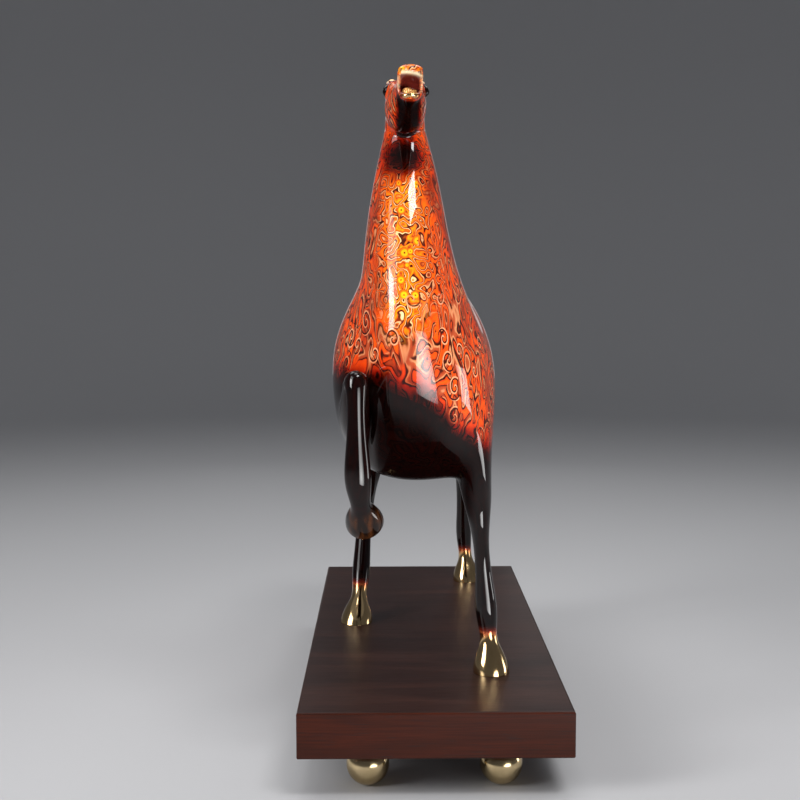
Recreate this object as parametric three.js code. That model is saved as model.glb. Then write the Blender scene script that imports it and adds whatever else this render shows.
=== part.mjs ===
// Copper horse figurine, walking with its right foreleg lifted, on a hardwood plinth with brass ball feet.
// Millimetres, +Z up. The horse faces -Y, so its left side is toward +X.
// The origin is on the ground, under the middle of the plinth.

import * as THREE from 'three';

// Driving dimensions of the plinth and its feet
const plinthWidth = 150;
const plinthLength = 350;
const plinthThickness = 26;
const plinthEdge = 1.2;
const ballRadius = 12;
const ballHeight = 23;
const ballSetSide = 37.2;
const ballSetEnd = 150;
const plinthTop = ballHeight + plinthThickness;

// Number of corners around the horse's body
const bodyCorners = 16;

// Every height of the horse is measured from the top of the plinth, where its hooves stand.
// A body section runs from a point on the back line to a point on the belly line, both as [y, height].
// "half" is half of its width and "middle" is the x of its middle.
// "upper" and "lower" are the squareness of its halves: 2 is an oval and more is squarer.
// "hollow" draws the sides of its upper half in, "crest" raises a mane, and "locks" grooves the tail.
const bodySections = [
  { name: 'tailTip', back: [151, 100], belly: [146, 99], half: 1.8, middle: -6 },
  { name: 'tailLow', back: [156, 126], belly: [138, 122], half: 7, middle: -6, locks: 0.12 },
  { name: 'tailMiddle', back: [154, 160], belly: [129, 154], half: 10, middle: -6, locks: 0.14 },
  { name: 'tailBend', back: [141, 199], belly: [118, 182], half: 9.4, middle: -6, locks: 0.12 },
  { name: 'tailTop', back: [119, 219], belly: [109, 196], half: 7.4, middle: -6, locks: 0.06 },
  { name: 'dock', back: [101, 218], belly: [105, 192], half: 8.5, middle: -6 },
  { name: 'seat', back: [94, 221], belly: [109, 170], half: 22, middle: -6.2 },
  { name: 'buttock', back: [83, 227], belly: [103, 140], half: 35, middle: -6.4 },
  { name: 'hip', back: [65, 231], belly: [78, 124], half: 42, middle: -6.7 },
  { name: 'croup', back: [44, 231], belly: [52, 121], half: 43.5, middle: -7 },
  { name: 'flank', back: [20, 228], belly: [26, 116], half: 41.5, middle: -7.5 },
  { name: 'loin', back: [-6, 227], belly: [-6, 110], half: 44, middle: -8 },
  { name: 'barrel', back: [-28, 229], belly: [-36, 109], half: 46, middle: -8.4 },
  { name: 'girth', back: [-42, 233], belly: [-68, 110], half: 47, middle: -8.7, lower: 2.5 },
  { name: 'elbow', back: [-49, 239], belly: [-98, 112], half: 48.5, middle: -8, lower: 2.8, hollow: 0.05, crest: 1 },
  { name: 'shoulder', back: [-53, 245], belly: [-129, 126], half: 47.8, middle: -12, lower: 2.6,
    hollow: 0.12, crest: 2 },
  { name: 'chest', back: [-57, 251], belly: [-148, 157], half: 41.6, middle: -12.8, lower: 2.4,
    hollow: 0.25, crest: 3 },
  { name: 'breast', back: [-61, 259], belly: [-154, 192], half: 29.6, middle: -11.6, hollow: 0.1, crest: 4 },
  { name: 'neckBase', back: [-66, 272], belly: [-152, 218], half: 25.6, middle: -13.8, crest: 5 },
  { name: 'neckLow', back: [-71, 287], belly: [-144, 246], half: 22.2, middle: -14.6, crest: 5 },
  { name: 'neckMiddle', back: [-76, 302], belly: [-134, 270], half: 18.8, middle: -14.7, crest: 5 },
  { name: 'neckHigh', back: [-81, 317], belly: [-124, 290], half: 14.6, middle: -15, crest: 5 },
  { name: 'throat', back: [-86, 331], belly: [-115, 305], half: 10.8, middle: -15.4, crest: 4 },
  { name: 'poll', back: [-94, 343], belly: [-112, 312.5], half: 10.3, middle: -15.4, hollow: 0.05, crest: 1 },
  { name: 'jowl', back: [-106, 345], belly: [-120, 311.5], half: 10.5, middle: -15.4, hollow: 0.08 },
  { name: 'brow', back: [-118, 344], belly: [-131, 314], half: 10.9, middle: -15.1, hollow: 0.1 },
  { name: 'cheek', back: [-130, 342], belly: [-140, 318.5], half: 9, middle: -14.4, hollow: 0.06 },
  { name: 'bridge', back: [-143, 341], belly: [-147, 322.5], half: 6.4, middle: -13.8, upper: 2.4 },
  { name: 'nostril', back: [-156, 342.4], belly: [-154, 324], half: 6.7, middle: -13.3, upper: 4, lower: 2.8 },
];

// The mouth: rings like the sections, with the middle of their sides set back to part the lips.
const mouthRings = [
  { name: 'muzzle', back: [-164, 342.6], belly: [-158.6, 325], half: 6.6, setBack: 6 },
  { name: 'lips', back: [-167.6, 340.2], belly: [-161.4, 326.4], half: 6, setBack: 9 },
  { name: 'gums', back: [-166.2, 335.6], belly: [-160, 329], half: 4.7, setBack: 8 },
  { name: 'palate', back: [-155, 335.4], belly: [-151, 328.4], half: 4.4, setBack: 2 },
];
const mouthMiddle = -13.2;
const mouthSquareness = 3.6;

// Which corners of the body a leg or an ear grows from, by section and by place around the section
const patches = {
  leftForeleg: { from: 'girth', to: 'shoulder', start: 5, end: 7 },
  rightForeleg: { from: 'elbow', to: 'chest', start: 9, end: 11 },
  leftHindleg: { from: 'buttock', to: 'flank', start: 5, end: 7 },
  rightHindleg: { from: 'buttock', to: 'flank', start: 9, end: 11 },
  leftEar: { from: 'poll', to: 'jowl', start: 1, end: 3 },
  rightEar: { from: 'poll', to: 'jowl', start: 13, end: 15 },
};

// A leg leaves the body through its root rings, each with its middle, its direction and its half widths.
// Its joints follow as [x, y, height], down to the sole. "stoutness" multiplies the widths above the hoof.
const legs = {
  leftForeleg: {
    profile: 'fore',
    stoutness: 1.02,
    stands: true,
    roots: [
      { at: [25.6, -99, 113], toward: [0.1, -0.15, -1], side: 9.8, front: 19, back: 15 },
      { at: [26.8, -101, 103.5], toward: [0.1, -0.1, -1], side: 8.8, front: 13, back: 12 },
      { at: [27.6, -102, 96], toward: [0.1, -0.05, -1], side: 7.4, front: 9.6, back: 9.2 },
    ],
    joints: [[27.8, -102.5, 93], [28.1, -103, 89], [32.5, -102, 34.5], [33.9, -103, 18], [35.2, -104.5, 0]],
  },
  rightForeleg: {
    profile: 'fore',
    stoutness: 1.17,
    stands: false,
    roots: [
      { at: [-44, -127, 154], toward: [0.05, -0.95, -0.3], side: 9.4, front: 18, back: 18 },
      { at: [-43.7, -137, 161], toward: [0.05, -0.95, 0.12], side: 8.6, front: 14, back: 13.5 },
      { at: [-43, -147, 170.5], toward: [0, -0.9, 0.36], side: 7.6, front: 9.8, back: 9.2 },
    ],
    joints: [[-43, -147, 170.5], [-42.4, -156, 180.5], [-42, -157.5, 121], [-40.2, -152, 107], [-38.5, -140, 97]],
  },
  leftHindleg: {
    profile: 'hind',
    stoutness: 1.02,
    stands: true,
    roots: [
      { at: [28, 66, 127], toward: [0.15, 0.6, -0.8], side: 14, front: 26, back: 26 },
      { at: [30.4, 88, 110.5], toward: [0.1, 0.75, -0.65], side: 10, front: 14, back: 15 },
    ],
    joints: [[31.2, 101, 102], [32, 126, 84], [33, 131, 33.5], [34.3, 129, 16], [35.5, 127, 0]],
  },
  rightHindleg: {
    profile: 'hind',
    stoutness: 1.06,
    stands: true,
    roots: [
      { at: [-34.6, 42, 125], toward: [-0.1, -0.2, -1], side: 14, front: 24, back: 26 },
      { at: [-37.8, 37, 109], toward: [-0.1, -0.1, -1], side: 10.4, front: 13, back: 15 },
    ],
    joints: [[-39, 37, 101], [-41.7, 48, 78], [-44.7, 22, 27.5], [-45.8, 14.5, 14.5], [-47.5, 8, 0]],
  },
};

// Sections of a leg: how far along which bone, and its half width to the side, the front and the back
const profiles = {
  fore: [
    { name: 'knee', bone: 1, along: 0.05, side: 5.7, front: 8.6, back: 6.8 },
    { name: 'belowKnee', bone: 1, along: 0.28, side: 4.3, front: 5.4, back: 5.8 },
    { name: 'cannon', bone: 1, along: 0.62, side: 4.9, front: 5, back: 6 },
    { name: 'fetlock', bone: 1, along: 0.97, side: 7.2, front: 6.6, back: 8.4 },
    { name: 'pastern', bone: 2, along: 0.72, side: 4.7, front: 5, back: 5.2 },
  ],
  hind: [
    { name: 'aboveHock', bone: 0, along: 0.5, side: 6.8, front: 8.4, back: 10 },
    { name: 'hock', bone: 1, along: 0.02, side: 6, front: 7, back: 10 },
    { name: 'belowHock', bone: 1, along: 0.26, side: 4.9, front: 5.4, back: 6.6 },
    { name: 'cannon', bone: 1, along: 0.62, side: 5.1, front: 5, back: 5.8 },
    { name: 'fetlock', bone: 1, along: 0.96, side: 6.3, front: 6.6, back: 8 },
    { name: 'pastern', bone: 2, along: 0.68, side: 4.5, front: 5, back: 5 },
  ],
};
// The hoof is a bell from the coronet down to the sole, longer toward the toe than toward the heel.
const hoofProfile = [
  { name: 'coronet', along: 0.06, side: 5.8, front: 6.4, back: 6 },
  { name: 'hoofTop', along: 0.36, side: 8.4, front: 8.8, back: 8 },
  { name: 'hoofLow', along: 0.74, side: 10.8, front: 11.2, back: 9.4 },
  { name: 'hoofRim', along: 0.97, side: 11.1, front: 11.7, back: 9.6 },
  { name: 'sole', along: 1.07, side: 11.1, front: 11.7, back: 9.6 },
];

// An ear is a short scoop that opens forward. Its rings are listed from the root, over the rim, to the cup.
const headMiddle = -14.9;
const earRoot = { side: 7.4, y: -98, height: 339.4 };
const earLean = { side: 0.06, back: 0.35, up: 0.93 };
const earRings = [
  { name: 'root', height: 1.2, side: 3.2, depth: 3, rise: 0 },
  { name: 'bell', height: 3.4, side: 3.7, depth: 2.9, rise: 1.8 },
  { name: 'rim', height: 5, side: 3.4, depth: 2.8, rise: 4.2 },
  { name: 'lining', height: 4.8, side: 2.4, depth: 1.9, rise: 3.4 },
  { name: 'cup', height: 2.4, side: 1.7, depth: 1.2, rise: 1 },
];

// Bulges of the face: the eye, the cheek and the nostril
const faceSwells = [
  { name: 'eye', side: 11, y: -119, height: 335.5, reach: 3.6, amount: 4.6 },
  { name: 'cheekBone', side: 9, y: -118, height: 322, reach: 9, amount: 0.8 },
  { name: 'nostril', side: 6.6, y: -159, height: 338.5, reach: 3.4, amount: 0.9 },
];

// How much one smoothing step draws a ring of that many corners inward
function drawIn(corners) {
  return 0.75 + 0.25 * Math.cos((2 * Math.PI) / corners);
}

// A power that keeps the sign, for the squared ovals
function signedPower(value, power) {
  return Math.sign(value) * Math.abs(value) ** power;
}

// The cage is the horse as a coarse net of points and faces, which one smoothing step rounds.
const cagePoints = [];
const cageFaces = [];

function addPoint(point) {
  cagePoints.push(point);
  return cagePoints.length - 1;
}

// Corners of one body section, from the back line round the left side to the belly and up the right side
function sectionCorners(section) {
  const { back, belly, half, middle, upper = 2, lower = 2 } = section;
  const { setBack = 0, hollow = 0, crest = 0, locks = 0 } = section;
  const centre = new THREE.Vector3(middle, (back[0] + belly[0]) / 2, (back[1] + belly[1]) / 2);
  const rise = new THREE.Vector3(0, (back[0] - belly[0]) / 2, (back[1] - belly[1]) / 2);
  const corners = [];
  for (let i = 0; i < bodyCorners; i += 1) {
    const angle = (2 * Math.PI * i) / bodyCorners;
    const isUpper = Math.cos(angle) > 0.01;
    const power = 2 / (isUpper ? upper : lower);
    const groove = i % 2 === 0 ? 1 + locks : 1 - locks;
    const grow = groove / drawIn(bodyCorners);
    const drawnIn = isUpper ? 1 - hollow * Math.abs(Math.sin(2 * angle)) : 1;
    const across = signedPower(Math.sin(angle), power) * half * grow * drawnIn;
    const corner = centre.clone().addScaledVector(rise, signedPower(Math.cos(angle), power) * grow);
    corner.x += across;
    corner.y += setBack * Math.sin(angle) ** 2;
    if (i === 0) corner.addScaledVector(rise, crest / rise.length());
    corners.push(addPoint(corner));
  }
  return corners;
}

// Whether a face of the body is left open for a leg
function insidePatch(row, column, openings) {
  return openings.some((patch) => (
    row >= patch.rowFrom && row < patch.rowTo && column >= patch.start && column < patch.end));
}

// The open edge of a patch, in the order that turns left as seen from outside
function patchEdge(rings, patch) {
  const edge = [];
  for (let row = patch.rowFrom; row < patch.rowTo; row += 1) edge.push(rings[row][patch.start]);
  for (let i = patch.start; i < patch.end; i += 1) edge.push(rings[patch.rowTo][i]);
  for (let row = patch.rowTo; row > patch.rowFrom; row -= 1) edge.push(rings[row][patch.end]);
  for (let i = patch.end; i > patch.start; i -= 1) edge.push(rings[patch.rowFrom][i]);
  return edge;
}

// Faces between two rings of the same number of corners
function joinRings(inner, outer) {
  inner.forEach((corner, k) => {
    const next = (k + 1) % inner.length;
    cageFaces.push([corner, inner[next], outer[next], outer[k]]);
  });
}

// Turns a ring's corners so that they meet the last ring's corners without a twist
function untwist(last, ring) {
  let best = 0;
  let bestSum = Infinity;
  for (let shift = 0; shift < ring.length; shift += 1) {
    let sum = 0;
    last.forEach((corner, k) => {
      sum += cagePoints[corner].distanceToSquared(ring[(k + shift) % ring.length]);
    });
    if (sum < bestSum) {
      best = shift;
      bestSum = sum;
    }
  }
  return ring.map((point, k) => ring[(k + best) % ring.length]);
}

// Grows a limb from an open edge through rings of points, and closes its end
function growLimb(edge, rings) {
  let last = edge;
  rings.forEach((ring) => {
    const next = untwist(last, ring).map(addPoint);
    joinRings(last, next);
    last = next;
  });
  cageFaces.push(last);
}

// Directions across a limb that runs along "along": to the horse's left, and to the limb's front
function limbFrame(along) {
  const side = new THREE.Vector3(1, 0, 0).addScaledVector(along, -along.x).normalize();
  const front = new THREE.Vector3().crossVectors(along, side);
  return { side, front };
}

// One ring of a leg, with the front deeper or shallower than the back
function legRing(centre, along, size, corners) {
  const { side, front } = limbFrame(along);
  const grow = 1 / drawIn(corners);
  const ring = [];
  for (let k = 0; k < corners; k += 1) {
    const angle = (2 * Math.PI * (k + 0.5)) / corners;
    const depth = Math.sin(angle) > 0 ? size.front : size.back;
    ring.push(centre.clone()
      .addScaledVector(side, Math.cos(angle) * size.side * grow)
      .addScaledVector(front, Math.sin(angle) * depth * grow));
  }
  return ring;
}

// All the rings of a leg: its roots, then its profile along the bones, then its hoof
function legRings({ profile, stoutness, stands, roots, joints }, corners) {
  const places = joints.map((joint) => new THREE.Vector3(...joint));
  const bones = places.slice(1).map((place, k) => place.clone().sub(places[k]).normalize());
  const hoofBone = bones.length - 1;
  const down = new THREE.Vector3(0, 0, -1);
  const placeOf = ({ bone, along }) => places[bone].clone().lerp(places[bone + 1], along);
  const rootRings = roots.map((root) => (
    legRing(new THREE.Vector3(...root.at), new THREE.Vector3(...root.toward).normalize(), root, corners)));
  const limbRings = profiles[profile].map((size) => {
    const along = bones[size.bone].clone();
    along.lerp(bones[size.bone + 1], Math.max(0, size.along - 0.5));
    if (size.bone > 0) along.lerp(bones[size.bone - 1], Math.max(0, 0.5 - size.along));
    const stout = { side: size.side * stoutness, front: size.front * stoutness, back: size.back * stoutness };
    return legRing(placeOf(size), along.normalize(), stout, corners);
  });
  const hoofRings = hoofProfile.map((size) => {
    const along = bones[hoofBone].clone();
    if (stands) along.lerp(down, Math.min(1, size.along));
    return legRing(placeOf({ bone: hoofBone, along: size.along }), along.normalize(), size, corners);
  });
  return [...rootRings, ...limbRings, ...hoofRings];
}

// Rings of an ear on one side of the head, taller at the back, where its tip is
function earRingsOn(sideSign, corners) {
  const root = new THREE.Vector3(headMiddle + sideSign * earRoot.side, earRoot.y, earRoot.height);
  const along = new THREE.Vector3(sideSign * earLean.side, earLean.back, earLean.up).normalize();
  const { side, front } = limbFrame(along);
  const grow = 1 / drawIn(corners);
  return earRings.map((size) => {
    const ring = [];
    for (let k = 0; k < corners; k += 1) {
      const angle = (2 * Math.PI * (k + 0.5)) / corners;
      ring.push(root.clone()
        .addScaledVector(along, size.height + size.rise * Math.sin(angle))
        .addScaledVector(side, Math.cos(angle) * size.side * grow)
        .addScaledVector(front, Math.sin(angle) * size.depth * grow));
    }
    return ring;
  });
}

// The body from the tail to the mouth, open where the legs grow
function buildBody() {
  const squared = { middle: mouthMiddle, upper: mouthSquareness, lower: mouthSquareness };
  const mouth = mouthRings.map((ring) => ({ ...ring, ...squared }));
  const sections = [...bodySections, ...mouth];
  const rings = sections.map(sectionCorners);
  const rowOf = (name) => sections.findIndex((section) => section.name === name);
  const openings = Object.entries(patches).map(([name, patch]) => ({
    ...patch, name, rowFrom: rowOf(patch.from), rowTo: rowOf(patch.to),
  }));
  for (let row = 0; row < rings.length - 1; row += 1) {
    for (let i = 0; i < bodyCorners; i += 1) {
      const next = (i + 1) % bodyCorners;
      if (!insidePatch(row, i, openings)) {
        cageFaces.push([rings[row][i], rings[row + 1][i], rings[row + 1][next], rings[row][next]]);
      }
    }
  }
  cageFaces.push([...rings[0]]);
  cageFaces.push([...rings[rings.length - 1]].reverse());
  const edges = {};
  openings.forEach((opening) => {
    edges[opening.name] = patchEdge(rings, opening);
  });
  return edges;
}

function buildLimbs(edges) {
  Object.entries(legs).forEach(([name, leg]) => {
    growLimb(edges[name], legRings(leg, edges[name].length));
  });
  growLimb(edges.leftEar, earRingsOn(1, edges.leftEar.length));
  growLimb(edges.rightEar, earRingsOn(-1, edges.rightEar.length));
}

// Raises or sinks the surface smoothly around a point, along its own normal
function swell(points, normals, centre, reach, amount) {
  points.forEach((point, p) => {
    const closeness = Math.exp(-point.distanceToSquared(centre) / (reach * reach));
    point.addScaledVector(normals[p], amount * closeness);
  });
}

// Normals of a closed net of four-sided faces
function netNormals(points, quads) {
  const normals = points.map(() => new THREE.Vector3());
  quads.forEach(([a, b, c, d]) => {
    const one = points[c].clone().sub(points[a]);
    const other = points[d].clone().sub(points[b]);
    const normal = one.cross(other);
    [a, b, c, d].forEach((corner) => normals[corner].add(normal));
  });
  return normals.map((normal) => normal.normalize());
}

// The eyes and nostrils bulge, and the cheeks are full
function shapeFace(points, quads) {
  const normals = netNormals(points, quads);
  [-1, 1].forEach((sideSign) => {
    faceSwells.forEach(({ side, y, height, reach, amount }) => {
      swell(points, normals, new THREE.Vector3(headMiddle + sideSign * side, y, height), reach, amount);
    });
  });
}

// One smoothing step: every face becomes four-sided faces around its middle, and the points are averaged
function smoothCage(points, faces) {
  const facePoints = faces.map((face) => {
    const sum = new THREE.Vector3();
    face.forEach((corner) => sum.add(points[corner]));
    return sum.divideScalar(face.length);
  });
  const edges = new Map();
  const edgeOf = (a, b) => (a < b ? `${a}_${b}` : `${b}_${a}`);
  faces.forEach((face, f) => {
    face.forEach((corner, k) => {
      const next = face[(k + 1) % face.length];
      const key = edgeOf(corner, next);
      if (!edges.has(key)) edges.set(key, { ends: [corner, next], faces: [] });
      edges.get(key).faces.push(f);
    });
  });
  const sums = points.map(() => ({ faces: new THREE.Vector3(), edges: new THREE.Vector3(), count: 0 }));
  const smoothed = points.map(() => new THREE.Vector3());
  const edgeIndex = new Map();
  edges.forEach((edge, key) => {
    const [a, b] = edge.ends;
    const middle = points[a].clone().add(points[b]).multiplyScalar(0.5);
    edge.ends.forEach((end) => {
      sums[end].edges.add(middle);
      sums[end].count += 1;
    });
    const point = points[a].clone().add(points[b]);
    edge.faces.forEach((f) => point.add(facePoints[f]));
    edgeIndex.set(key, smoothed.length);
    smoothed.push(point.divideScalar(2 + edge.faces.length));
  });
  faces.forEach((face, f) => face.forEach((corner) => sums[corner].faces.add(facePoints[f])));
  points.forEach((point, p) => {
    const { count } = sums[p];
    if (count === 0) return;
    smoothed[p].copy(sums[p].faces).divideScalar(count)
      .addScaledVector(sums[p].edges, 2 / count)
      .addScaledVector(point, count - 3)
      .divideScalar(count);
  });
  const quads = [];
  faces.forEach((face, f) => {
    const middle = smoothed.length;
    smoothed.push(facePoints[f]);
    face.forEach((corner, k) => {
      const next = face[(k + 1) % face.length];
      const last = face[(k + face.length - 1) % face.length];
      quads.push([corner, edgeIndex.get(edgeOf(corner, next)), middle, edgeIndex.get(edgeOf(last, corner))]);
    });
  });
  return { points: smoothed, quads };
}

// Grinds the standing hooves flat where they meet the plinth
function grindSoles(points) {
  points.forEach((point) => {
    if (point.z < 0.5) point.z = 0;
  });
}

function meshOf(name, geometry, material) {
  const mesh = new THREE.Mesh(geometry, material);
  mesh.name = name;
  return mesh;
}

function horse() {
  const edges = buildBody();
  buildLimbs(edges);
  const { points, quads } = smoothCage(cagePoints, cageFaces);
  shapeFace(points, quads);
  grindSoles(points);
  const positions = points.flatMap((point) => [point.x, point.y, point.z]);
  const triangles = quads.flatMap(([a, b, c, d]) => [a, b, c, a, c, d]);
  const geometry = new THREE.BufferGeometry();
  geometry.setAttribute('position', new THREE.Float32BufferAttribute(positions, 3));
  geometry.setIndex(triangles);
  geometry.computeVertexNormals();
  const lacquer = new THREE.MeshStandardMaterial({ color: 0xb8441a, roughness: 0.15, metalness: 0.3 });
  const mesh = meshOf('horse', geometry, lacquer);
  mesh.position.z = plinthTop;
  return mesh;
}

function plinth() {
  const outline = new THREE.Shape();
  const x = plinthWidth / 2 - plinthEdge;
  const y = plinthLength / 2 - plinthEdge;
  outline.moveTo(-x, -y).lineTo(x, -y).lineTo(x, y).lineTo(-x, y).closePath();
  const board = new THREE.ExtrudeGeometry(outline, {
    depth: plinthThickness - 2 * plinthEdge,
    bevelThickness: plinthEdge,
    bevelSize: plinthEdge,
    bevelSegments: 2,
  });
  const walnut = new THREE.MeshStandardMaterial({ color: 0x4a2a1e, roughness: 0.4, metalness: 0 });
  const mesh = meshOf('plinth', board, walnut);
  mesh.position.z = ballHeight + plinthEdge;
  return mesh;
}

// A ball turned flat at its top and its bottom
function ballProfile() {
  const rows = 8;
  const flatAngle = Math.acos(ballHeight / 2 / ballRadius);
  const profile = [new THREE.Vector2(0, 0)];
  for (let k = 0; k <= rows; k += 1) {
    const angle = flatAngle + ((Math.PI - 2 * flatAngle) * k) / rows;
    const height = ballHeight / 2 - ballRadius * Math.cos(angle);
    profile.push(new THREE.Vector2(ballRadius * Math.sin(angle), height));
  }
  profile.push(new THREE.Vector2(0, ballHeight));
  return profile;
}

function ballFeet() {
  const sides = 20;
  const feet = new THREE.Group();
  for (const [end, y] of [['front', -ballSetEnd], ['back', ballSetEnd]]) {
    for (const [hand, x] of [['left', ballSetSide], ['right', -ballSetSide]]) {
      const brass = new THREE.MeshStandardMaterial({ color: 0xc9a66b, roughness: 0.2, metalness: 1 });
      const ball = new THREE.LatheGeometry(ballProfile(), sides);
      ball.rotateX(Math.PI / 2);
      const foot = meshOf(`foot_${end}_${hand}`, ball, brass);
      foot.position.set(x, y, 0);
      feet.add(foot);
    }
  }
  return feet;
}

const figurine = new THREE.Group();
figurine.add(horse(), plinth(), ballFeet());

export default figurine;
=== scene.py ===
# %% [markdown]
# This lesson dresses the solids of a copper horse figurine. The horse is one hollow casting under glossy
# lacquer, and it walks on a dark wooden plinth that stands on four brass balls. The solids hold every size
# and place, so the looks are built around them and never moved. Everything is in metres, +Z is up, and the
# horse faces -Y, with its left side toward +X.

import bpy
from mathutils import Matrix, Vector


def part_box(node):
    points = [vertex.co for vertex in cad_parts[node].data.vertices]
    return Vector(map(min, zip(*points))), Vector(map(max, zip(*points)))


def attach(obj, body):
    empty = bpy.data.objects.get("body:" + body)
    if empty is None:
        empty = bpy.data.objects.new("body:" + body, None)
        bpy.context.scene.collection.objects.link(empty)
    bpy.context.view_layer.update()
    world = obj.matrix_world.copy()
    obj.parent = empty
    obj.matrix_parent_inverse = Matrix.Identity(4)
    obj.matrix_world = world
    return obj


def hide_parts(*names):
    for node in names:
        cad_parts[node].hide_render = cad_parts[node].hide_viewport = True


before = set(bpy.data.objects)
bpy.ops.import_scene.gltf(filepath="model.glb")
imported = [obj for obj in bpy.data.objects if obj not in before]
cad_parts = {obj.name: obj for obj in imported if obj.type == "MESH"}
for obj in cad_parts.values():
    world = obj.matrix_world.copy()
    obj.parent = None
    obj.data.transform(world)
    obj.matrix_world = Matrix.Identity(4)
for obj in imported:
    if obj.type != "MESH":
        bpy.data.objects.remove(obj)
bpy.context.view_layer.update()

# %% [markdown]
# The figure is easier to think about in millimetres above the plinth's top, where its hooves stand. A small
# helper turns such a place into the scene's metres, so that every later number can be read off a ruler.
# Another puts each new object into the scene.

# %% Places on the horse
import math

import bmesh
import bpy
import numpy as np
from mathutils import Matrix, Vector

MM = 0.001
plinth_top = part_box("plinth")[1].z


def place(x, y, height):
    """A point of the horse in metres, from millimetres above the plinth's top."""
    return Vector((x * MM, y * MM, plinth_top + height * MM))


def link(obj):
    """Puts a new object into the scene."""
    bpy.context.scene.collection.objects.link(obj)
    return obj


print("the plinth's top is at", round(plinth_top, 4))

# %% [markdown]
# The photo was taken from straight in front and a little above the plinth. The camera's place was worked
# out from the plinth's corners. A lens of 55 mm on a 36 mm sensor gives the photo's mild perspective.

# %% The camera
camera_pitch = math.radians(-5.136)
camera_yaw = math.radians(-0.49)
camera_roll = math.radians(-0.111)
camera_data = bpy.data.cameras.new("camera")
camera_data.sensor_width = 36
camera_data.lens = 55.35
camera_data.clip_start = 0.01
camera = link(bpy.data.objects.new("camera", camera_data))
camera.location = (-0.02454, -0.8154, 0.27447)
turn = Matrix.Rotation(camera_yaw, 3, "Z") @ Matrix.Rotation(math.pi / 2 + camera_pitch, 3, "X")
camera.rotation_euler = (turn @ Matrix.Rotation(camera_roll, 3, "Z")).to_euler()
bpy.context.scene.camera = camera
print("camera at", tuple(camera.location))

# %% [markdown]
# Two things here are as round as if they came off a lathe: the studio's curved floor and the ball feet. One
# helper spins an outline round an upright axis. It merges the seam where the turn meets its start, and
# works the faces' directions out again, because a spin can leave them inside out.

# %% Spun shapes
def spun(outline, steps):
    """A bmesh of an outline turned round the upright axis through its first point."""
    net = bmesh.new()
    corners = [net.verts.new(point) for point in outline]
    edges = [net.edges.new(pair) for pair in zip(corners, corners[1:])]
    bmesh.ops.spin(net, geom=corners + edges, cent=outline[0], axis=(0, 0, 1), angle=2 * math.pi,
                   steps=steps, use_merge=True)
    bmesh.ops.remove_doubles(net, verts=net.verts[:], dist=1e-5)
    bmesh.ops.recalc_face_normals(net, faces=net.faces[:])
    return net


def object_of(net, name):
    """An object in the scene with the shape of a bmesh, which is freed."""
    mesh = bpy.data.meshes.new(name)
    net.to_mesh(mesh)
    net.free()
    return link(bpy.data.objects.new(name, mesh))


disc = spun([(0, 0, 0), (1, 0, 0)], steps=8)
print("a disc spun in 8 steps has", len(disc.faces), "faces")
disc.free()

# %% [markdown]
# A polished figure shows its surroundings more than itself, so the studio is part of the look. A pale floor
# that curves up all the way round has no edge to reflect. It could be a box of planes, but a spun profile
# gives the round cove in one go.

# %% The pale floor
cove_flat = 1.9
cove_bend = 0.9
cove_height = 2.6
bend_steps = 8

profile = [(0, 0, 0), (cove_flat, 0, 0)]
for k in range(1, bend_steps + 1):
    angle = math.pi / 2 * k / bend_steps
    across = cove_flat + cove_bend * math.sin(angle)
    profile.append((across, 0, cove_bend * (1 - math.cos(angle))))
profile.append((cove_flat + cove_bend, 0, cove_height))
cove = spun(profile, steps=64)
bmesh.ops.reverse_faces(cove, faces=cove.faces[:])
for face in cove.faces:
    face.smooth = True
floor = object_of(cove, "floor")

floor_paint = bpy.data.materials.new("floor_paint")
floor_paint.use_nodes = True
floor_shader = floor_paint.node_tree.nodes["Principled BSDF"]
floor_shader.inputs["Base Color"].default_value = (0.48, 0.48, 0.49, 1)
floor_shader.inputs["Roughness"].default_value = 0.7
floor.data.materials.append(floor_paint)
print("floor faces", len(floor.data.polygons))

# %% [markdown]
# Glossy lacquer is a mirror, so each softbox is placed by the highlight that it should draw. Each is given
# by its direction from the chest, as a photographer would set it: 0 degrees is straight ahead of the horse,
# its left side is positive, and the rise is how far it stands above level. A high one in front draws the
# bright line down the neck, a low one the patch on the chest, and one at each side the streaks on the
# flanks and the legs. Broad ones fill the shadows, and two faint strips behind draw a thin rim along the
# edges. All are hidden from the camera, which sees them only in the lacquer.

# %% The lights
chest = place(-12, -150, 185)


def softbox(name, direction, rise, distance, width, height, glow, spread=150):
    """A soft light facing the chest; glow is how bright its face looks, spread how widely it throws."""
    data = bpy.data.lights.new(name, "AREA")
    data.shape = "RECTANGLE"
    data.size = width
    data.size_y = height
    data.energy = glow * width * height * math.pi
    data.spread = math.radians(spread)
    light = link(bpy.data.objects.new(name, data))
    around, up = math.radians(direction), math.radians(rise)
    away = Vector((math.sin(around) * math.cos(up), -math.cos(around) * math.cos(up), math.sin(up)))
    light.location = chest + away * distance
    light.rotation_euler = (-away).to_track_quat("-Z", "Y").to_euler()
    light.visible_camera = False


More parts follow.
